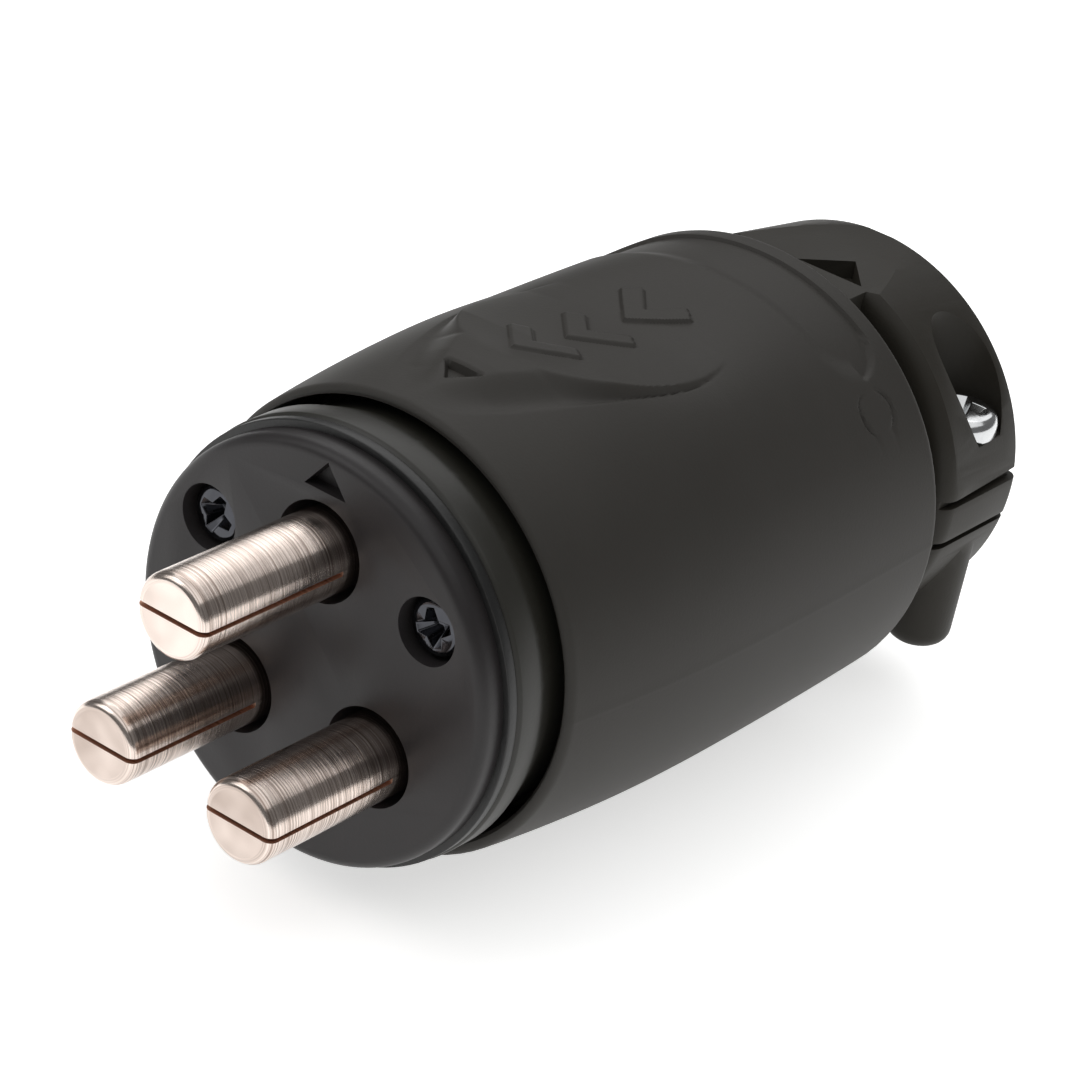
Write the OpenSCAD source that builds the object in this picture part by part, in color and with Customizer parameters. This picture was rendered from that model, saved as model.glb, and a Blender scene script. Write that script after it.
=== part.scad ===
// Three-pin locking power plug, lying on its side.
// The plug's axis is Y: the contact face is at Y = 0, the pins point to -Y
// and the cord leaves to +Y. Z is up. Millimetres.

/* [Contacts] */
// Diameter of a contact pin
pin_d = 8; // [6:0.5:9]
// Reach of the two lower pins in front of the face
pin_reach = 15.6; // [10:0.2:20]
// Extra reach of the top pin, which makes first
top_pin_lead = 1.8; // [0:0.1:4]
// Pitch circle of the pins
pin_pcd = 21; // [20:0.5:22]
// Angle of each lower pin below the horizontal
lower_pin_angle = 39; // [32:1:44]
// Width of the saw cut in a pin
pin_slot_w = 0.8; // [0.5:0.1:1.5]

/* [Contact face] */
// Radius of the contact carrier
face_r = 20.3; // [19.8:0.1:20.8]
// Radius of the clearance hole round a pin
pin_hole_r = 4.8; // [4.4:0.1:5]
// Distance of a face screw from the plug's axis
face_screw_pitch_r = 15.3; // [14.8:0.1:15.3]
// Angle of a face screw above the horizontal
face_screw_angle = 33; // [28:1:38]

/* [Grip sleeve] */
// Largest radius of the grip sleeve
sleeve_r = 24.15; // [23.6:0.05:24.4]
// Front rim of the grip sleeve
sleeve_y0 = 9.6; // [9:0.2:11]
// Rear rim of the grip sleeve
sleeve_y1 = 64.8; // [62:0.2:65]
// Depth of the thumb dish at its middle
dish_depth = 2; // [1:0.1:2.2]

/* [Cord clamp] */
// Rear face of the cord clamp
clamp_y1 = 83.9; // [83.1:0.2:85.9]
// Radius of the cord clamp
clamp_r = 21; // [20.6:0.1:21.2]
// Height of the flat on top of the clamp, at its rear
clamp_flat_z = 18.8; // [18:0.1:19.2]
// Distance of a clamp screw from the plug's middle
clamp_screw_x = 16; // [15.8:0.1:16.2]
// Radius of the cord hole
cord_r = 6.5; // [5:0.5:7.5]

/* [Hidden] */
$fn = 96;
eps = 0.01;

black = "#26272a";
soft_black = "#2c2d2e";
nickel = "#c9bfb0";
zinc = "#c8cacc";
dark_steel = "#303236";
brass = "#b99a52";
rubber = "#1d1d1e";

// Front end: carrier, seal and shell, one behind the other.
face_edge_r = 1.1;        // rounding of the face's rim
carrier_rim_y = 2.7;      // back of the carrier's visible rim
seal_r = 21;
shell_y0 = 3.8;           // front of the shell
shell_lip_r = 21.2;
shell_lip_y = 6.6;
socket_r = 18.6;          // bore that takes the carrier's spigot
flange_y0 = 9.5;          // pocket for the pins' flanges
carrier_y1 = 12;
retainer_y1 = 20;

// Contacts.
pin_r = pin_d / 2;
pin_edge = 0.9;
pin_flange_r = 5.4;
terminal_r = 5;
terminal_y1 = 36;
wire_hole_r = 2.4;
wire_hole_depth = 13;
terminal_screw_y = 30;
terminal_screw_r = 1.5;
terminal_screw_l = 3.2;
terminal_screw_proud = 0.5;
guide_hole_y = 5.5;       // depth of the clearance hole round a pin
pin_angles = [90, 180 + lower_pin_angle, -lower_pin_angle];

// Screws in the face.
face_head_r = 2.95;
face_pocket_r = 3.2;
face_pocket_y = 3;
face_head_y = 0.8;
face_screw_r = 1.25;
insert_r = 2.1;

// Body shell.
shell_r = 20;
chamber_r = 16.5;
shell_y1 = 62;
spigot_r = 13;
spigot_bore_r = 9;
spigot_y1 = 72;

// Grip sleeve: side radius from two arcs, top half a little flatter than the sides.
belly_y = 38;             // place of the largest radius
front_arc = 218;
rear_arc = 800;
front_squash = 1;         // height of the top half over its width, at the front rim
rear_squash = 0.968;      // and at the rear rim
sleeve_drop = 0.24;       // the sleeve's middle lies this far under the plug's axis
mouth_r = 21.3;
mouth_y = 20;
rim_round = 0.7;

// Thumb dish, and the pointed ramp in front of it, both seen from above.
dish_y = 37;
dish_half_w = 11.1;
dish_half_l = 15.6;
ramp_half_w = 11.7;
ramp_l = 27.5;
ramp_h = 0.7;
scoop_depth = 0.35;       // valley along the ramp's flanks
chevron_y = [24.1, 32.3, 40.9];
chevron_x = 4.3;          // reach of an arm to the side
chevron_back = 5;         // reach of an arm to the rear
chevron_w = 2.2;
chevron_h = 0.32;
mark_y = 16.6;
triangle_depth = 0.8;

// Shallow bare band across the top, behind the dish.
band_y0 = 54.3;
band_y1 = 62.3;
band_half_w = 16.4;
band_depth = 0.4;

// Cord clamp.
neck_r = 18.4;
neck_y0 = 65.2;
wing_y0 = 70.2;
wing_round = 2.2;
wing_y = wing_y0 + wing_round;
rear_round = 1.4;
shoulder_r0 = 21.5;       // the upper half's shoulders: a cone whose axis dips to the rear
shoulder_r1 = 20.5;
shoulder_dip = 6;
tongue_w = 15;
parting_gap = 0.8;
lip_h = 4;
lip_groove = 0.7;
clamp_screw_y = 78.3;
clamp_head_z = 7.6;
clamp_head_r = 4;
clamp_head_h = 2.6;
clamp_pocket_r = 4.4;
clamp_screw_r = 2;
boss_r = 4.2;
boss_tip_r = 3.4;
boss_z0 = -19;
boss_round = 1.8;
clamp_insert_r = 2.7;
clamp_insert_l = 7;
grommet_r = 10;
grommet_y1 = 81;
mouth_hole_r = 8;

function squash(y) = front_squash
    + (rear_squash - front_squash) * (y - sleeve_y0) / (sleeve_y1 - sleeve_y0);
function arc_drop(r, d) = r - sqrt(r * r - d * d);
function belly(y) = sleeve_r - arc_drop(y < belly_y ? front_arc : rear_arc, y - belly_y);
function clamped(v) = min(1, max(0, v));

// Half-widths, across X, of the dish, of the ramp and of the ramp's level top.
function dish_w(y) = dish_half_w * sqrt(clamped(1 - pow((y - dish_y) / dish_half_l, 2)));
function ramp_w(y) = ramp_half_w * sqrt(clamped(1 - (y < dish_y
    ? pow((dish_y - y) / ramp_l, 1.4) : pow((y - dish_y) / dish_half_l, 2))));
function level_w(y) = max(dish_w(y), clamped((y - 13.3) / 8.3) * 4.3);
function ramp_side(x, y) = clamped((ramp_w(y) - abs(x)) / max(0.5, ramp_w(y) - level_w(y)));
function ramp_z(x, y) = let (s = ramp_side(x, y))
    clamped((44 - y) / 16) * (ramp_h * clamped((y - 10) / 11.4) * s
        - scoop_depth * clamped((y - 11) / 5) * 6.75 * s * pow(1 - s, 2));
function dish_z(x, y) = dish_depth
    * clamped(1 - pow(x / dish_half_w, 2) - pow((y - dish_y) / dish_half_l, 2));
function top_z(x, r, y) = squash(y) * sqrt(max(0, r * r - x * x)) + ramp_z(x, y) - dish_z(x, y);
function on_pitch(a, r) = [r * cos(a), 0, r * sin(a)];

// Revolves or extrudes a shape along the plug's axis.
module along_axis() { rotate([-90, 0, 0]) children(); }

module rod(r, y0, y1) { translate([0, y0, 0]) along_axis() cylinder(r = r, h = y1 - y0); }

module at_pitch(a, r) { translate(on_pitch(a, r)) children(); }

// Flat triangle in X and Y whose tip points to +Y.
module triangle(half_w, length) { polygon([[-half_w, 0], [half_w, 0], [0, length]]); }

// Cross recess of a screw whose head faces up.
module cross_recess(size, depth) {
    for (turn = [0, 90]) rotate([0, 0, turn])
        translate([-size / 2, -size / 9, -depth]) cube([size, size / 4.5, depth + eps]);
}

// Pan-head screw whose head stands on Z = 0 and whose shank goes down.
module pan_screw(head_r, head_h, shank_r, shank_l, recess_size) {
    difference() {
        union() {
            rotate_extrude() polygon(concat(
                [[0, 0], [head_r, 0]],
                [for (a = [0 : 15 : 90])
                    [head_r * (0.55 + 0.45 * cos(a)), head_h * (0.4 + 0.6 * sin(a))]],
                [[0, head_h]]));
            translate([0, 0, -shank_l]) cylinder(r = shank_r, h = shank_l + eps);
        }
        translate([0, 0, head_h]) cross_recess(recess_size, head_h * 0.75);
    }
}

module carrier_body() {
    along_axis() rotate_extrude() polygon(concat(
        [[0, 0]],
        [for (a = [90 : -15 : 0])
            [face_r - face_edge_r + face_edge_r * cos(a), face_edge_r - face_edge_r * sin(a)]],
        [[face_r, carrier_rim_y], [socket_r, carrier_rim_y], [socket_r, carrier_y1], [0, carrier_y1]]));
}

module contact_carrier() {
    color(black) difference() {
        carrier_body();
        for (a = pin_angles) at_pitch(a, pin_pcd / 2) {
            rod(pin_hole_r, -1, guide_hole_y);
            rod(pin_r, 0, carrier_y1 + 1);
            rod(pin_flange_r, flange_y0, carrier_y1 + 1);
        }
        for (a = [face_screw_angle, 180 - face_screw_angle]) at_pitch(a, face_screw_pitch_r) {
            rod(face_pocket_r, -1, face_pocket_y);
            rod(face_screw_r, 0, carrier_y1 + 1);
        }
        translate([0, -eps, 16.4]) rotate([-90, 0, 0]) mirror([0, 1, 0])
            linear_extrude(triangle_depth + eps) triangle(2.4, 2.9);
    }
}

module carrier_seal() {
    color(rubber) along_axis() difference() {
        translate([0, 0, carrier_rim_y]) cylinder(r = seal_r, h = shell_y0 - carrier_rim_y);
        translate([0, 0, carrier_rim_y - 1]) cylinder(r = socket_r, h = 4);
    }
}

// Moulded tube that takes the contacts in front and carries the clamp on its rear spigot.
module body_shell() {
    color(black) along_axis() rotate_extrude() polygon([
        [socket_r, shell_y0], [shell_lip_r - 0.4, shell_y0], [shell_lip_r, shell_y0 + 0.4],
        [shell_lip_r, shell_lip_y], [shell_r, shell_lip_y + 3.4],
        [shell_r, shell_y1], [spigot_r, shell_y1], [spigot_r, spigot_y1],
        [spigot_bore_r, spigot_y1], [spigot_bore_r, shell_y1 - 4],
        [chamber_r, shell_y1 - 8], [chamber_r, retainer_y1], [socket_r, retainer_y1]]);
}

module pin_retainer() {
    color(black) difference() {
        rod(socket_r, carrier_y1, retainer_y1);
        for (a = pin_angles) at_pitch(a, pin_pcd / 2) rod(terminal_r, carrier_y1 - 1, retainer_y1 + 1);
        for (a = [face_screw_angle, 180 - face_screw_angle]) at_pitch(a, face_screw_pitch_r)
            rod(insert_r, carrier_y1 - 1, retainer_y1 + 1);
    }
}

// Turned contact: split pin in front, flange, and a terminal for the wire behind.
module contact_pin(angle, reach, screw_turn) {
    color(nickel) at_pitch(angle, pin_pcd / 2) difference() {
        union() {
            along_axis() rotate_extrude() polygon(concat(
                [[0, -reach]],
                [for (a = [90 : -15 : 0])
                    [pin_r - pin_edge + pin_edge * cos(a), -reach + pin_edge - pin_edge * sin(a)]],
                [[pin_r, flange_y0], [pin_flange_r, flange_y0], [pin_flange_r, carrier_y1],
                 [terminal_r, carrier_y1], [terminal_r, terminal_y1], [0, terminal_y1]]));
        }
        translate([-pin_r - 1, -reach - 1, -pin_slot_w / 2])
            cube([2 * pin_r + 2, reach + 1 - 1.2, pin_slot_w]);
        rod(wire_hole_r, terminal_y1 - wire_hole_depth, terminal_y1 + 1);
        translate([0, terminal_screw_y, 0]) rotate([0, screw_turn, 0])
            cylinder(r = terminal_screw_r, h = terminal_r + 1);
    }
}

module contact_pin_top() { contact_pin(pin_angles[0], pin_reach + top_pin_lead, 0); }
module contact_pin_left() { contact_pin(pin_angles[1], pin_reach, -90 - lower_pin_angle); }
module contact_pin_right() { contact_pin(pin_angles[2], pin_reach, 90 + lower_pin_angle); }

// Headless screw that presses the wire in a terminal.
module terminal_screw(angle, screw_turn) {
    color(dark_steel) at_pitch(angle, pin_pcd / 2) translate([0, terminal_screw_y, 0])
        rotate([0, screw_turn, 0]) difference() {
            translate([0, 0, terminal_r + terminal_screw_proud - terminal_screw_l])
                cylinder(r = terminal_screw_r, h = terminal_screw_l, $fn = 48);
            translate([-2, -0.3, terminal_r + terminal_screw_proud - 0.8]) cube([4, 0.6, 2]);
        }
}

module terminal_screw_top() { terminal_screw(pin_angles[0], 0); }
module terminal_screw_left() { terminal_screw(pin_angles[1], -90 - lower_pin_angle); }
module terminal_screw_right() { terminal_screw(pin_angles[2], 90 + lower_pin_angle); }

// Screw that draws the retainer against the carrier.
module face_screw(angle) {
    color(dark_steel) at_pitch(angle, face_screw_pitch_r) translate([0, face_pocket_y, 0])
        rotate([90, 0, 0]) pan_screw(face_head_r, face_pocket_y - face_head_y,
                                     face_screw_r, retainer_y1 - face_pocket_y - 1, 4.2);
}

module face_screw_left() { face_screw(180 - face_screw_angle); }
module face_screw_right() { face_screw(face_screw_angle); }

// Threaded brass insert in the retainer.
module face_insert(angle) {
    color(brass) at_pitch(angle, face_screw_pitch_r) difference() {
        rod(insert_r, carrier_y1, retainer_y1);
        rod(face_screw_r, carrier_y1 - 1, retainer_y1 + 1);
    }
}

module face_insert_left() { face_insert(180 - face_screw_angle); }
module face_insert_right() { face_insert(face_screw_angle); }

// Outer skin of the sleeve, as [y, radius] rows and columns of angles from the top.
skin_rows = concat(
    [[sleeve_y0, belly(sleeve_y0) - rim_round],
     [sleeve_y0 + 0.3 * rim_round, belly(sleeve_y0) - 0.3 * rim_round]],
    [for (i = [0 : 37]) let (y = sleeve_y0 + rim_round
                                 + (sleeve_y1 - sleeve_y0 - 2 * rim_round) * i / 37) [y, belly(y)]],
    [[sleeve_y1 - 0.3 * rim_round, belly(sleeve_y1) - 0.3 * rim_round],
     [sleeve_y1, belly(sleeve_y1) - rim_round]]);
skin_angles = concat([for (a = [-38 : 2 : 38]) a], [for (a = [46 : 8 : 314]) a]);

function skin_point(y, r, a) = let (x = r * sin(a))
    [x, y, cos(a) < 0 ? r * cos(a) - sleeve_drop
           : abs(a) < 40 ? top_z(x, r, y) - sleeve_drop : r * cos(a) * squash(y) - sleeve_drop];

module sleeve_skin() {
    n = len(skin_angles);
    rows = len(skin_rows);
    polyhedron(
        points = [for (row = skin_rows) for (a = skin_angles) skin_point(row[0], row[1], a)],
        faces = concat(
            [[for (j = [0 : n - 1]) n - 1 - j]],
            [for (i = [0 : rows - 2]) for (j = [0 : n - 1]) for (half = [0, 1])
                let (here = i * n + j, next = i * n + (j + 1) % n)
                    half == 0 ? [here, next, here + n] : [next, next + n, here + n]],
            [[for (j = [0 : n - 1]) (rows - 1) * n + j]]));
}

// One V whose tip points to the pins, seen from above: two bars with square ends.
module chevron() {
    arm = sqrt(pow(chevron_x, 2) + pow(chevron_back, 2));
    in_x = chevron_w * chevron_back / arm;
    in_y = chevron_w * chevron_x / arm;
    polygon([[0, 0], [chevron_x, chevron_back], [chevron_x - in_x, chevron_back + in_y],
             [0, chevron_w * arm / chevron_x],
             [in_x - chevron_x, chevron_back + in_y], [-chevron_x, chevron_back]]);
}

// Block under a copy of the dish that lies chevron_h above it.
module raised_dish() {
    xs = [-5 : 1 : 5];
    ys = [22 : 1.5 : 50.5];
    n = 11;
    rows = 20;
    function at(x, y) = [x, y, top_z(x, belly(y), y) - sleeve_drop + chevron_h];
    polyhedron(
        points = concat([for (y = ys) for (x = xs) at(x, y)],
                        [for (y = ys) for (x = xs) [x, y, 20.5]]),
        faces = concat(
            [for (i = [0 : rows - 2]) for (j = [0 : n - 2]) for (low = [0, 1]) for (half = [0, 1])
                let (a = low * n * rows + i * n + j, b = a + 1, c = a + n, d = c + 1)
                    low == 0 ? (half == 0 ? [a, c, b] : [b, c, d]) : (half == 0 ? [a, b, c] : [b, d, c])],
            [for (i = [0 : rows - 2]) for (side = [0, 1])
                let (a = i * n + side * (n - 1), b = a + n, c = a + n * rows, d = b + n * rows)
                    side == 0 ? [a, c, d, b] : [a, b, d, c]],
            [for (end = [0, 1]) let (first = end * (rows - 1) * n)
                concat(end == 0 ? [for (j = [0 : n - 1]) first + j] : [for (j = [n - 1 : -1 : 0]) first + j],
                       end == 0 ? [for (j = [n - 1 : -1 : 0]) first + n * rows + j]
                                : [for (j = [0 : n - 1]) first + n * rows + j])]));
}

// Space of the band, with a soft front edge and a sharp rear one.
module label_band() {
    intersection() {
        translate([0, 0, -sleeve_drop]) scale([1, 1, squash((band_y0 + band_y1) / 2)]) along_axis() rotate_extrude($fn = 144)
            polygon(concat(
                [[belly(band_y0), band_y0]],
                [for (i = [0 : 4]) let (y = band_y0 + 2 + (band_y1 - band_y0 - 2) * i / 4)
                    [belly(y) - band_depth, y]],
                [[sleeve_r + 2, band_y1], [sleeve_r + 2, band_y0]]));
        linear_extrude(30) hull() for (side = [-1, 1])
            translate([side * (band_half_w - 3.9), (band_y0 + band_y1) / 2]) circle(r = 3.99, $fn = 48);
    }
}

module grip_sleeve() {
    color(soft_black) union() {
        difference() {
            sleeve_skin();
            rod(mouth_r, sleeve_y0 - 1, mouth_y);
            rod(shell_r, mouth_y - 1, sleeve_y1 + 1);
            label_band();
            translate([0, mark_y + 2.4, sleeve_r - 1.6]) mirror([0, 1, 0])
                linear_extrude(3) triangle(2.1, 2.4);
        }
        for (y = chevron_y) intersection() {
            translate([0, y, 20.6]) linear_extrude(4) chevron();
            raised_dish();
        }
    }
}

// Cross section of the clamp: flat on top, sloped sides below.
module clamp_outline() {
    polygon([[-22, clamp_flat_z], [22, clamp_flat_z], [22, 0], [21, -4.9], [17.5, -13],
             [12, -16.8], [6.7, -18.6], [-6.7, -18.6], [-12, -16.8], [-17.5, -13],
             [-21, -4.9], [-22, 0]]);
}

module clamp_envelope() {
    intersection() {
        translate([0, neck_y0, 0]) rotate([90, 0, 0]) mirror([0, 0, 1])
            linear_extrude(clamp_y1 - neck_y0) clamp_outline();
        along_axis() rotate_extrude() polygon(concat(
            [[0, neck_y0], [neck_r, neck_y0], [neck_r, wing_y0]],
            [for (a = [90 : -15 : 0])
                [clamp_r - wing_round + wing_round * cos(a), wing_y - wing_round * sin(a)]],
            [for (a = [0 : 15 : 90])
                [clamp_r - rear_round + rear_round * cos(a),
                 clamp_y1 - rear_round + rear_round * sin(a)]],
            [[0, clamp_y1]]));
    }
}

// What both halves leave free: the spigot, the grommet and the cord.
module clamp_bore() {
    rod(spigot_r, neck_y0 - 1, spigot_y1);
    rod(grommet_r, spigot_y1 - eps, grommet_y1);
    rod(mouth_hole_r, grommet_y1 - eps, clamp_y1 + 1);
}

module both_sides() {
    for (side = [-1, 1]) translate([side * clamp_screw_x, clamp_screw_y, 0]) children();
}

module clamp_upper() {
    color(black) difference() {
        union() {
            intersection() {
                clamp_envelope();
                translate([0, neck_y0, 0]) rotate([-90 - shoulder_dip, 0, 0])
                    translate([0, 0, -4]) cylinder(r1 = shoulder_r0, r2 = shoulder_r1, h = 26);
            }
            translate([-tongue_w / 2, neck_y0, neck_r - 3])
                cube([tongue_w, wing_y - neck_y0, clamp_flat_z + 3 - neck_r]);
        }
        translate([-30, neck_y0 - 1, -60 + parting_gap]) cube([60, 30, 60]);
        clamp_bore();
        both_sides() {
            translate([0, 0, clamp_head_z - clamp_head_h]) cylinder(r = clamp_pocket_r, h = 20);
            translate([0, 0, -1]) cylinder(r = clamp_screw_r, h = 20);
        }
        translate([0, 74, clamp_flat_z - triangle_depth]) linear_extrude(3) triangle(3.3, 3.8);
    }
}

// Boss round a clamp screw, narrower and rounded at its lower end.
module clamp_boss() {
    rotate_extrude() polygon(concat(
        [[0, -lip_h], [0, boss_z0]],
        [for (a = [-90 : 15 : 0])
            [boss_tip_r - boss_round + boss_round * cos(a), boss_z0 + boss_round + boss_round * sin(a)]],
        [[boss_r, -lip_h]]));
}

module clamp_lower() {
    color(black) difference() {
        union() {
            intersection() {
                clamp_envelope();
                translate([-30, neck_y0 - 1, -60]) cube([60, 30, 60]);
            }
            both_sides() clamp_boss();
            intersection() {
                rod(clamp_r - 0.9, neck_y0, clamp_y1 - 0.9);
                clamp_envelope();
                translate([-30, neck_y0 - 1, -1]) cube([60, 30, 1 + parting_gap]);
            }
        }
        difference() {
            translate([-30, wing_y0 - 1, -lip_h - lip_groove]) cube([60, 30, lip_groove]);
            rod(clamp_r - 0.9, wing_y0 - 2, clamp_y1 + 1);
            translate([-30, neck_y0, -lip_h - 1]) cube([60, wing_y0 + 0.8 - neck_y0, 2]);
        }
        clamp_bore();
        both_sides() {
            translate([0, 0, boss_z0 + 1]) cylinder(r = clamp_screw_r, h = 40);
            translate([0, 0, boss_z0 + 1]) cylinder(r = clamp_insert_r, h = clamp_insert_l);
        }
    }
}

// Machine screw that draws the clamp halves together.
module clamp_screw(side) {
    color(zinc) translate([side * clamp_screw_x, clamp_screw_y, clamp_head_z - clamp_head_h])
        rotate([0, 0, 30])
            pan_screw(clamp_head_r, clamp_head_h, clamp_screw_r,
                      clamp_head_z - clamp_head_h - boss_z0 - 2, 4.8);
}

module clamp_screw_left() { clamp_screw(-1); }
module clamp_screw_right() { clamp_screw(1); }

// Threaded brass insert in a boss.
module clamp_insert(side) {
    color(brass) translate([side * clamp_screw_x, clamp_screw_y, boss_z0 + 1]) difference() {
        cylinder(r = clamp_insert_r, h = clamp_insert_l);
        translate([0, 0, -1]) cylinder(r = clamp_screw_r, h = clamp_insert_l + 2);
    }
}

module clamp_insert_left() { clamp_insert(-1); }
module clamp_insert_right() { clamp_insert(1); }

// Rubber bush that seals and grips the cord.
module cord_grommet() {
    color(rubber) difference() {
        rod(grommet_r, spigot_y1, grommet_y1);
        rod(cord_r, spigot_y1 - 1, grommet_y1 + 1);
    }
}

contact_carrier();
carrier_seal();
body_shell();
pin_retainer();
contact_pin_top();
contact_pin_left();
contact_pin_right();
terminal_screw_top();
terminal_screw_left();
terminal_screw_right();
face_screw_left();
face_screw_right();
face_insert_left();
face_insert_right();
grip_sleeve();
clamp_upper();
clamp_lower();
clamp_screw_left();
clamp_screw_right();
clamp_insert_left();
clamp_insert_right();
cord_grommet();
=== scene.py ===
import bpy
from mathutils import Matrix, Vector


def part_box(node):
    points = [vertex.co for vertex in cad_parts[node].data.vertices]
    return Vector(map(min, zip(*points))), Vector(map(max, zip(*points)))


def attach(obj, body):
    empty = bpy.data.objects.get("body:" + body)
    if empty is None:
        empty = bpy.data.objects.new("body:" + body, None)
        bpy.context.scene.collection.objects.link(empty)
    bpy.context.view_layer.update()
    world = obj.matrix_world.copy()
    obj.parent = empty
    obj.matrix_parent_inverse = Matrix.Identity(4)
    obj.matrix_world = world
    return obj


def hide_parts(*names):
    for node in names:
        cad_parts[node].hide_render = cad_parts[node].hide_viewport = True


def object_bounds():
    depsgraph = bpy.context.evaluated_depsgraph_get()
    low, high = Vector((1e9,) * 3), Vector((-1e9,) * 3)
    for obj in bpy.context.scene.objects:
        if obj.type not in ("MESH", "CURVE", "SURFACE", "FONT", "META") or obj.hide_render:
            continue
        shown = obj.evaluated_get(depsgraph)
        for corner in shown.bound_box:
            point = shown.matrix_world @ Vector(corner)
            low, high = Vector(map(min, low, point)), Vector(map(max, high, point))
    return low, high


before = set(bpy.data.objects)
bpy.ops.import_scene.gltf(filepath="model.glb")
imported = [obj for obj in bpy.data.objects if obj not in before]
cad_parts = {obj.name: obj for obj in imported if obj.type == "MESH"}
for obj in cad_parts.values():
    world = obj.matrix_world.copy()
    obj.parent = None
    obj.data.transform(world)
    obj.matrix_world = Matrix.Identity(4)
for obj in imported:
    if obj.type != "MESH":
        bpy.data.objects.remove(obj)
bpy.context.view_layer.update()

import math

import bmesh
import bpy
from mathutils import Matrix, Vector

bpy.ops.object.select_all(action="DESELECT")
MM = 0.001


# Floor -------------------------------------------------------------------
# A light table: a matte opal acrylic sheet, lit from below, on which the plug
# lies. It is much larger than the view, so its edge never shows.

def linear(code):
    """Linear colour of an sRGB hex code such as "#20252c"."""
    parts = [int(code[i:i + 2], 16) / 255 for i in (1, 3, 5)]
    return [c / 12.92 if c <= 0.04045 else ((c + 0.055) / 1.055) ** 2.4 for c in parts] + [1.0]


def add(tree, kind, settings=None, links=None):
    """Adds a node with its settings, and links its inputs to other nodes' outputs."""
    node = tree.nodes.new(kind)
    for key, value in (settings or {}).items():
        if hasattr(node, key):
            setattr(node, key, value)
        else:
            node.inputs[key].default_value = value
    for key, source in (links or {}).items():
        tree.links.new(source, node.inputs[key])
    return node


def new_material(name, **settings):
    """A new material, its node tree and its Principled shader with the settings."""
    material = bpy.data.materials.new(name)
    material.use_nodes = True
    shader = material.node_tree.nodes["Principled BSDF"]
    for key, value in settings.items():
        shader.inputs[key.replace("_", " ")].default_value = value
    return material, material.node_tree, shader


low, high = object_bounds()
bpy.ops.mesh.primitive_plane_add(size=8, location=(0, 0, low.z))
floor = bpy.context.object
floor.name = "light_table"
board, tree, shader = new_material("opal_acrylic_light_table", Roughness=0.6, Emission_Strength=0.66)
place = add(tree, "ShaderNodeTexCoord")
speckle = add(tree, "ShaderNodeTexNoise", {"Scale": 40.0}, {"Vector": place.outputs["Object"]})
tint = add(tree, "ShaderNodeMix", {"data_type": "RGBA"}, {"Factor": speckle.outputs["Fac"]})
tint.inputs["A"].default_value = linear("#f6f6f5")
tint.inputs["B"].default_value = linear("#f9f9f9")
tree.links.new(tint.outputs["Result"], shader.inputs["Base Color"])
tree.links.new(tint.outputs["Result"], shader.inputs["Emission Color"])
floor.data.materials.append(board)
bpy.ops.object.select_all(action="DESELECT")


# Moulded plastics --------------------------------------------------------
# The carrier, the shell and the clamp are moulded nylon with a fine eroded
# grain; its colour and gloss wander a little, as the mould's flow leaves them.

def moulded(name, dark, light, roughness, grain_mm, grain_height, cloud_mm=9.0, gleam=0.4):
    """A moulded surface: clouded colour and gloss, and a fine grain in the relief."""
    material, tree, shader = new_material(name, Specular_IOR_Level=gleam)
    place = add(tree, "ShaderNodeTexCoord").outputs["Object"]
    cloud = add(tree, "ShaderNodeTexNoise", {"Scale": 1 / (cloud_mm * MM), "Detail": 4.0}, {"Vector": place})
    tint = add(tree, "ShaderNodeMix", {"data_type": "RGBA"}, {"Factor": cloud.outputs["Fac"]})
    tint.inputs["A"].default_value = linear(dark)
    tint.inputs["B"].default_value = linear(light)
    tree.links.new(tint.outputs["Result"], shader.inputs["Base Color"])
    gloss = add(tree, "ShaderNodeMapRange", {"To Min": roughness - 0.06, "To Max": roughness + 0.06},
                {"Value": cloud.outputs["Fac"]})
    tree.links.new(gloss.outputs["Result"], shader.inputs["Roughness"])
    grain = add(tree, "ShaderNodeTexNoise", {"Scale": 1 / (grain_mm * MM), "Detail": 2.0}, {"Vector": place})
    relief = add(tree, "ShaderNodeBump", {"Strength": 1.0, "Distance": grain_height * MM},
                 {"Height": grain.outputs["Fac"]})
    tree.links.new(relief.outputs["Normal"], shader.inputs["Normal"])
    return material


carrier_nylon = moulded("carrier_nylon_moulded_satin", "#222020", "#2a2728", 0.40, 0.35, 0.010, 9.0, 0.3)
shell_nylon = moulded("shell_nylon_moulded_satin", "#21201c", "#292823", 0.40, 0.4, 0.010, 9.0, 0.35)
clamp_nylon = moulded("clamp_nylon_moulded_matte", "#26241f", "#2f2c27", 0.5, 0.3, 0.012, 9.0, 0.2)
seal_rubber = moulded("seal_rubber_moulded", "#131313", "#1a1a1a", 0.38, 0.5, 0.02)


def new_piece(name, points, faces):
    """A mesh object from points in mm, with its normals turned outward."""
    mesh = bpy.data.meshes.new(name)
    mesh.from_pydata([[c * MM for c in point] for point in points], [], faces)
    work = bmesh.new()
    work.from_mesh(mesh)
    bmesh.ops.recalc_face_normals(work, faces=work.faces)
    work.to_mesh(mesh)
    work.free()
    piece = bpy.data.objects.new(name, mesh)
    bpy.context.collection.objects.link(piece)
    return piece


def select_only(piece):
    bpy.ops.object.select_all(action="DESELECT")
    piece.select_set(True)
    bpy.context.view_layer.objects.active = piece


def carve(piece, operation, solid):
    """Joins a solid to a piece ("UNION") or cuts it out ("DIFFERENCE"), and removes the solid."""
    select_only(piece)
    modifier = piece.modifiers.new("carve", "BOOLEAN")
    modifier.operation, modifier.object, modifier.solver = operation, solid, "EXACT"
    bpy.ops.object.modifier_apply(modifier=modifier.name)
    bpy.data.meshes.remove(solid.data)


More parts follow.
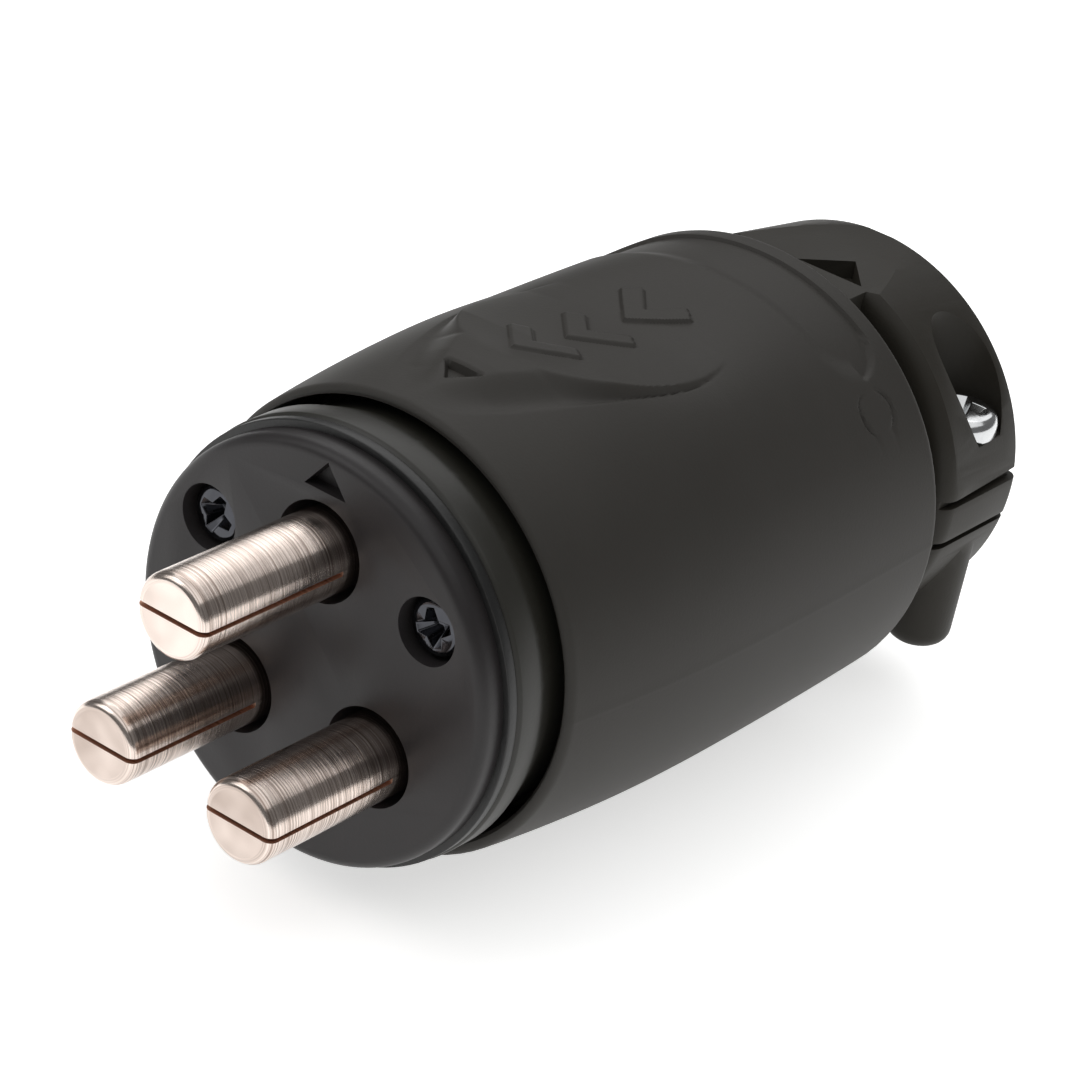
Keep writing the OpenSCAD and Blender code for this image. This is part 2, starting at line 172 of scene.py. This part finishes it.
def finish_piece(piece, node_name, material, width, corner=32):
    """Rounds the piece's sharp edges, gives it its material and puts it in the node's place."""
    piece.data.materials.clear()
    piece.data.materials.append(material)
    select_only(piece)
    if width:
        bevel = piece.modifiers.new("rounds", "BEVEL")
        bevel.width = width * MM
        bevel.segments = 3
        bevel.limit_method = "ANGLE"
        bevel.angle_limit = math.radians(corner)
        bpy.ops.object.modifier_apply(modifier=bevel.name)
    bpy.ops.object.shade_smooth_by_angle(angle=math.radians(corner + 2))
    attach(piece, "root")
    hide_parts(node_name)
    return piece


def softened(node_name, name, width, material, corner=32, changes=()):
    """A copy of a CAD node with merged points, changed by solids, and with small rounds."""
    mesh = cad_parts[node_name].data.copy()
    mesh.name = name
    piece = bpy.data.objects.new(name, mesh)
    bpy.context.collection.objects.link(piece)
    work = bmesh.new()
    work.from_mesh(mesh)
    bmesh.ops.remove_doubles(work, verts=work.verts, dist=0.002 * MM)
    bmesh.ops.dissolve_limit(work, angle_limit=math.radians(0.6), verts=work.verts, edges=work.edges)
    bmesh.ops.recalc_face_normals(work, faces=work.faces)
    work.to_mesh(mesh)
    work.free()
    for operation, solid in changes:
        carve(piece, operation, solid)
    return finish_piece(piece, node_name, material, width, corner)


def prism(name, corners, z0, z1):
    """An upright prism over corners in X and Y."""
    count = len(corners)
    sides = [(i, (i + 1) % count, (i + 1) % count + count, i + count) for i in range(count)]
    return new_piece(name, [(x, y, z) for z in (z0, z1) for x, y in corners],
                     [tuple(range(count)), tuple(range(count, 2 * count))] + sides)


face_mark = prism("face_mark", [(-2.4, 16.4), (2.4, 16.4), (0, 19.3)], -1.4, 1)
face_mark.data.transform(Matrix.Rotation(math.radians(90), 4, "X"))
softened("contact_carrier", "carrier_moulding", 0.14, carrier_nylon,
         changes=[("DIFFERENCE", face_mark)])
softened("carrier_seal", "seal_ring", 0.12, seal_rubber)
softened("body_shell", "shell_moulding", 0.12, shell_nylon)
old_mark = prism("old_mark", [(-3.6, 73.7), (3.6, 73.7), (3.6, 78.2), (-3.6, 78.2)], 17.2, 18.8)
deep_mark = prism("deep_mark", [(-1.3, 71.3), (6.5, 71.3), (2.6, 75.8)], 16.9, 20)
softened("clamp_upper", "clamp_upper_moulding", 0.25, clamp_nylon, 20,
         [("UNION", old_mark), ("DIFFERENCE", deep_mark)])
softened("clamp_lower", "clamp_lower_moulding", 0.25, clamp_nylon, 20)


# Grip sleeve -------------------------------------------------------------
# One soft elastomer moulding over the shell: bulged, a little flatter on top,
# with a pointed ramp and a thumb dish, raised chevrons, a sunk triangle, a
# bare shallow band, parting lines at its sides and a round gate mark.

SLEEVE_R, BELLY_Y, FRONT_ARC, REAR_ARC = 24.15, 38.0, 218.0, 800.0
SLEEVE_Y0, SLEEVE_Y1, RIM_ROUND = 9.6, 64.8, 0.7
DROP, MOUTH_R, MOUTH_Y, SEAT_R = 0.24, 21.3, 20.0, 20.0
DISH_Y, DISH_W, DISH_L, DISH_DEPTH = 37.0, 11.1, 15.6, 2.4


def clamped(value, low=0.0, high=1.0):
    return min(high, max(low, value))


def side_radius(y):
    """Radius of the sleeve's side at y."""
    arc = FRONT_ARC if y < BELLY_Y else REAR_ARC
    return SLEEVE_R - arc + math.sqrt(arc * arc - (y - BELLY_Y) ** 2)


def squash(y):
    """Height over width of the sleeve's top half."""
    return 1 - 0.032 * (y - SLEEVE_Y0) / (SLEEVE_Y1 - SLEEVE_Y0)


def ramp(x, y):
    """Height of the pointed ramp that runs up to the dish, with a valley along its flanks."""
    dish_w = DISH_W * math.sqrt(clamped(1 - ((y - DISH_Y) / DISH_L) ** 2))
    reach = ((DISH_Y - y) / 27.5) ** 1.4 if y < DISH_Y else ((y - DISH_Y) / DISH_L) ** 2
    outer_w = 11.7 * math.sqrt(clamped(1 - reach))
    level_w = max(dish_w, clamped((y - 13.3) / 8.3) * 4.3)
    s = clamped((outer_w - abs(x)) / max(0.5, outer_w - level_w))
    soft_s = s * s / (s + 0.12)
    valley = 0.6 * clamped((y - 11) / 5) * 7.5 * soft_s * (1 - s) ** 2
    return clamped((44 - y) / 16) * (0.8 * clamped((y - 10) / 9) * s - valley)


def dish(x, y):
    """Depth of the thumb dish, whose edge is softer at its rear."""
    inside = 1 - (x / DISH_W) ** 2 - ((y - DISH_Y) / DISH_L) ** 2
    soft = 0.1 + 0.65 * clamped((y - 28) / 12)
    return DISH_DEPTH * (inside + math.sqrt(inside * inside + soft * soft)) / 2


def edge_distance(x, y, corners):
    """Distance from a point to a polygon's outline, negative inside it."""
    nearest, inside = 1e9, False
    for (ax, ay), (bx, by) in zip(corners, corners[1:] + corners[:1]):
        ex, ey = bx - ax, by - ay
        along = clamped(((x - ax) * ex + (y - ay) * ey) / (ex * ex + ey * ey))
        nearest = min(nearest, math.hypot(x - ax - along * ex, y - ay - along * ey))
        if (ay > y) != (by > y) and x < ax + ex * (y - ay) / ey:
            inside = not inside
    return -nearest if inside else nearest


def chevron(y0):
    """Outline of one V of two 2.2 mm bars with square ends, whose tip points to the pins."""
    arm = math.hypot(4.3, 5)
    in_x, in_y = 2.2 * 5 / arm, 2.2 * 4.3 / arm
    return [(0, y0), (4.3, y0 + 5), (4.3 - in_x, y0 + 5 + in_y), (0, y0 + 2.2 * arm / 4.3),
            (in_x - 4.3, y0 + 5 + in_y), (-4.3, y0 + 5)]


def step(distance, width):
    """Soft step over width: 1 well inside an outline and 0 outside it."""
    t = clamped(0.5 - distance / width)
    return t * t * (3 - 2 * t)


chevrons = [chevron(y0) for y0 in (24.1, 32.3, 40.9)]
mark = [(-2.1, 17.5), (2.1, 17.5), (0, 15.1)]


def relief(x, y, angle):
    """Marks on the skin: up from it if positive."""
    height = 0.0
    if abs(x) < 6 and y < 52 and abs(angle) < 60:
        for corners in chevrons:
            if corners[0][1] - 1 < y < corners[0][1] + 9:
                height += 0.34 * step(edge_distance(x, y, corners), 0.26)
        if y < 20:
            height -= 0.85 * step(edge_distance(x, y, mark), 0.3)
    if 53 < y < 63.5 and abs(angle) < 60:
        past = abs(x) - 12.4
        reach = 4.0
        if past > 0:
            distance = math.hypot(past, y - 58.3) - reach
        else:
            distance = abs(y - 58.3) - reach
        soft = 0.36 if y > 58.3 else 2.4
        height -= 0.42 * step(distance + (0 if y > 58.3 else 0.9), soft)
    if 54 < y < 62 and 46 < angle < 58:
        across, along = 24 * math.radians(angle - 51.7), y - 58.0
        ring = clamped(1 - abs(math.hypot(across, along) - 2.4) / 0.26)
        height -= 0.34 * ring * clamped(abs(along) * 0.7 - 0.5)
    return height


fine = [a * 0.5 for a in range(-113, 114)]
coarse = [59 + 4 * i for i in range(61)]
around = sorted(set(fine + coarse + [89.2, 89.7, 90.3, 90.8, 269.2, 269.7, 270.3, 270.8]))
rows = [(SLEEVE_Y0 + RIM_ROUND * (1 - math.cos(math.radians(t))), RIM_ROUND * (1 - math.sin(math.radians(t))))
        for t in (0, 22, 45, 68, 90)]
steps = 222
rows += [(SLEEVE_Y0 + RIM_ROUND + (SLEEVE_Y1 - SLEEVE_Y0 - 2 * RIM_ROUND) * i / steps, 0.0)
         for i in range(1, steps)]
rows += [(SLEEVE_Y1 - RIM_ROUND * (1 - math.cos(math.radians(t))), RIM_ROUND * (1 - math.sin(math.radians(t))))
         for t in (90, 68, 45, 22, 0)]
inner = [(SLEEVE_Y1, SEAT_R + 0.35), (SLEEVE_Y1 - 0.35, SEAT_R), (MOUTH_Y + 1.4, SEAT_R), (MOUTH_Y, MOUTH_R),
         (SLEEVE_Y0 + 0.3, MOUTH_R), (SLEEVE_Y0, MOUTH_R + 0.3)]
points, faces = [], []
for y, inset in rows:
    radius = side_radius(y) - inset
    for angle in around:
        turn = math.radians(angle)
        x, z = radius * math.sin(turn), radius * math.cos(turn)
        near = angle if angle < 180 else angle - 360
        flash = 0.05 * clamped(1 - abs(abs(near) - 90) / 0.5)
        if abs(near) < 90:
            z *= squash(y)
            if abs(near) < 58:
                z += ramp(x, y) - dish(x, y)
        lift = relief(x, y, near) + flash
        points.append((x + lift * math.sin(turn), y, z - DROP + lift * math.cos(turn)))
for y, radius in inner:
    for angle in around:
        turn = math.radians(angle)
        points.append((radius * math.sin(turn), y, radius * math.cos(turn)))
count, total = len(around), len(rows) + len(inner)
for i in range(total):
    for j in range(count):
        a, b = i * count + j, i * count + (j + 1) % count
        c, d = (i + 1) % total * count + j, (i + 1) % total * count + (j + 1) % count
        faces.append((a, b, d, c))
elastomer = moulded("grip_elastomer_moulded_soft", "#2f2d2a", "#393734", 0.54, 0.28, 0.014, 14.0, 0.2)
finish_piece(new_piece("grip_moulding", points, faces), "grip_sleeve", elastomer, 0)


# Contact pins ------------------------------------------------------------
# Turned brass, nickel plated: a rounded tip, tool rings round the sides, and
# a saw cut through the middle whose bare brass has dulled to brown.

def turned_metal(name, colour, ring_colour, roughness, ring_mm, ring_height):
    """Plated turned metal with fine tool rings across the plug's axis."""
    material, tree, shader = new_material(name, Metallic=1.0)
    place = add(tree, "ShaderNodeTexCoord").outputs["Object"]
    stretch = add(tree, "ShaderNodeMapping", None, {"Vector": place})
    stretch.inputs["Scale"].default_value = (0.004, 1.0, 0.004)
    rings = add(tree, "ShaderNodeTexNoise", {"Scale": 1 / (ring_mm * MM), "Detail": 5.0, "Roughness": 0.7},
                {"Vector": stretch.outputs["Vector"]})
    marks = add(tree, "ShaderNodeMapRange", {"From Min": 0.32, "From Max": 0.58}, {"Value": rings.outputs["Fac"]})
    tint = add(tree, "ShaderNodeMix", {"data_type": "RGBA"}, {"Factor": marks.outputs["Result"]})
    tint.inputs["A"].default_value = linear(ring_colour)
    tint.inputs["B"].default_value = linear(colour)
    tree.links.new(tint.outputs["Result"], shader.inputs["Base Color"])
    gloss = add(tree, "ShaderNodeMapRange", {"To Min": roughness + 0.12, "To Max": roughness - 0.06},
                {"Value": rings.outputs["Fac"]})
    tree.links.new(gloss.outputs["Result"], shader.inputs["Roughness"])
    relief = add(tree, "ShaderNodeBump", {"Strength": 1.0, "Distance": ring_height * MM},
                 {"Height": rings.outputs["Fac"]})
    tree.links.new(relief.outputs["Normal"], shader.inputs["Normal"])
    return material


nickel = turned_metal("nickel_plated_brass_turned", "#e6d8cf", "#806c60", 0.15, 0.2, 0.02)
sawn = turned_metal("brass_sawn_dulled", "#c79d86", "#94705c", 0.6, 0.4, 0.02)


def contact_pin(node_name, name):
    """A softened copy of the pin, 1.3 mm longer and with a finer saw cut of dull metal."""
    piece = softened(node_name, name, 0.14, nickel, corner=38)
    piece.data.materials.append(sawn)
    low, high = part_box(node_name)
    middle = (low.z + high.z) / 2
    for face in piece.data.polygons:
        if abs(face.center.z - middle) < 0.43 * MM and face.center.y < -0.5 * MM and face.center.y > low.y + 0.3 * MM:
            face.material_index = 1
    for point in piece.data.vertices:
        if point.co.y < -0.5 * MM and abs(point.co.z - middle) < 0.6 * MM:
            point.co.z = middle + 0.6 * (point.co.z - middle)
        if point.co.y < low.y / 2:
            point.co.y -= 1.3 * MM
    return piece


contact_pin("contact_pin_top", "pin_top_turned")
contact_pin("contact_pin_left", "pin_left_turned")
contact_pin("contact_pin_right", "pin_right_turned")


# Screws, inserts and other carried-over pieces ----------------------------
# Black-plated screws in the face and zinc-plated ones in the clamp are built anew with a flared cross
# recess; the terminal screws, brass inserts, pin retainer and rubber grommet keep their solids and get their finish.

def plated(name, dark, light, roughness):
    """Plated steel with slightly wandering gloss and a faint waviness in its relief."""
    material, tree, shader = new_material(name, Metallic=1.0)
    place = add(tree, "ShaderNodeTexCoord").outputs["Object"]
    cloud = add(tree, "ShaderNodeTexNoise", {"Scale": 1 / (1.2 * MM), "Detail": 4.0}, {"Vector": place})
    tint = add(tree, "ShaderNodeMix", {"data_type": "RGBA"}, {"Factor": cloud.outputs["Fac"]})
    tint.inputs["A"].default_value = linear(dark)
    tint.inputs["B"].default_value = linear(light)
    tree.links.new(tint.outputs["Result"], shader.inputs["Base Color"])
    gloss = add(tree, "ShaderNodeMapRange", {"To Min": roughness - 0.05, "To Max": roughness + 0.08},
                {"Value": cloud.outputs["Fac"]})
    tree.links.new(gloss.outputs["Result"], shader.inputs["Roughness"])
    relief = add(tree, "ShaderNodeBump", {"Strength": 0.5, "Distance": 0.01 * MM}, {"Height": cloud.outputs["Fac"]})
    tree.links.new(relief.outputs["Normal"], shader.inputs["Normal"])
    return material


def cross_screw(node_name, name, seat, basis, sizes, material):
    """A pan-head screw with a flared cross recess: head radius, height, shank radius, length."""
    radius, height, shank, length = sizes
    profile = [(shank - 0.3, -length), (shank, 0.4 - length), (shank, 0), (radius - 0.12, 0), (radius, 0.15)]
    profile += [(radius * (0.72 + 0.28 * math.cos(math.radians(t))), height * (0.42 + 0.5 * math.sin(math.radians(t))))
                for t in range(0, 91, 15)]
    profile += [(radius * 0.4, height * 0.99), (radius * 0.02, height)]
    turns = [math.radians(7.5 * i) for i in range(48)]
    points = [(r * math.cos(t), r * math.sin(t), z) for r, z in profile for t in turns]
    faces = [(48 * i + j, 48 * i + (j + 1) % 48, 48 * (i + 1) + (j + 1) % 48, 48 * (i + 1) + j)
             for i in range(len(profile) - 1) for j in range(48)]
    faces += [tuple(range(48)), tuple(range(48 * (len(profile) - 1), 48 * len(profile)))]
    piece = new_piece(name, points, faces)
    arm, flare, reach = 0.15 * radius, 0.27 * radius, 0.68 * radius
    star = []
    for quarter in range(4):
        c, s = [(1, 0), (0, 1), (-1, 0), (0, -1)][quarter]
        star += [(x * c - y * s, x * s + y * c) for x, y in ((flare, flare), (arm, reach), (-arm, reach))]
    levels = [(0.35, height * 0.2), (1.0, height), (1.3, height * 1.4)]
    points = [(x * k, y * k, z) for k, z in levels for x, y in star]
    faces = [(12 * i + j, 12 * i + (j + 1) % 12, 12 * i + 12 + (j + 1) % 12, 12 * i + 12 + j)
             for i in range(2) for j in range(12)]
    carve(piece, "DIFFERENCE", new_piece("recess", points, faces + [tuple(range(12)), tuple(range(24, 36))]))
    piece.data.transform(Matrix.Translation(Vector(seat) * MM) @ basis)
    finish_piece(piece, node_name, material, 0.07, 40)


zinc = plated("zinc_plated_steel", "#b9bbbd", "#dcdddd", 0.16)
black_steel = plated("black_plated_steel", "#3c3d40", "#505156", 0.09)
brass = plated("brass_turned", "#a8843f", "#c4a05a", 0.3)
for side, sign in (("left", -1), ("right", 1)):
    seat = (sign * 15.3 * math.cos(math.radians(33)), 3.0, 15.3 * math.sin(math.radians(33)))
    cross_screw("face_screw_" + side, "face_screw_%s_plated" % side, seat,
                Matrix.Rotation(math.radians(90), 4, "X") @ Matrix.Rotation(math.radians(20 * sign), 4, "Z"),
                (2.95, 2.2, 1.25, 16.0), black_steel)
    cross_screw("clamp_screw_" + side, "clamp_screw_%s_plated" % side, (sign * 16.0, 78.3, 5.0),
                Matrix.Rotation(math.radians(30), 4, "Z"), (4.0, 2.6, 2.0, 22.0), zinc)
for name, material in {"pin_retainer": shell_nylon, "cord_grommet": seal_rubber,
                       "terminal_screw_top": black_steel, "terminal_screw_left": black_steel,
                       "terminal_screw_right": black_steel, "face_insert_left": brass,
                       "face_insert_right": brass, "clamp_insert_left": brass,
                       "clamp_insert_right": brass}.items():
    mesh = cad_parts[name].data
    mesh.materials.clear()
    mesh.materials.append(material)


# Light and camera --------------------------------------------------------
# A dim room with a large soft box overhead, as for a cut-out product picture:
# the table lights the plug from all round, and its metal shows the dark room.

world = bpy.data.worlds.new("studio")
bpy.context.scene.world = world
world.use_nodes = True
world.node_tree.nodes["Background"].inputs["Color"].default_value = (1, 1, 1, 1)
world.node_tree.nodes["Background"].inputs["Strength"].default_value = 0.17


def softbox(name, place, aim, size, power, colour="#ffffff"):
    """A soft rectangular light at place, turned to aim."""
    data = bpy.data.lights.new(name, "AREA")
    data.shape = "RECTANGLE"
    data.size, data.size_y = size
    data.energy = power
    data.color = linear(colour)[:3]
    lamp = bpy.data.objects.new(name, data)
    bpy.context.collection.objects.link(lamp)
    lamp.location = place
    lamp.rotation_euler = (Vector(aim) - Vector(place)).to_track_quat("-Z", "Y").to_euler()


softbox("overhead", (0.1, -0.2, 1.2), (0.1, -0.2, 0), (2.4, 2.4), 16)
softbox("rear_left", (-0.55, 0.95, 0.95), (0, 0.03, 0), (1.5, 0.9), 5)
softbox("front_left", (-0.8, -0.8, 0.9), (0, 0, 0), (0.9, 0.9), 4)

AIM, DISTANCE = Vector((-0.1, 32.9, 0.5)) * MM, 381 * MM
azimuth, elevation, roll = (math.radians(a) for a in (35.4, 28.0, 8.2))
back = Vector((math.sin(azimuth) * math.cos(elevation), -math.cos(azimuth) * math.cos(elevation),
               math.sin(elevation)))
level = Vector((math.cos(azimuth), math.sin(azimuth), 0))
right = level * math.cos(roll) + back.cross(level) * math.sin(roll)
camera_data = bpy.data.cameras.new("camera")
camera_data.lens = 135
camera_data.sensor_width = 36
camera = bpy.data.objects.new("camera", camera_data)
bpy.context.collection.objects.link(camera)
camera.matrix_world = Matrix((right, back.cross(right), back)).transposed().to_4x4()
camera.location = AIM + back * DISTANCE
bpy.context.scene.camera = camera
bpy.context.scene.view_settings.view_transform = "Standard"
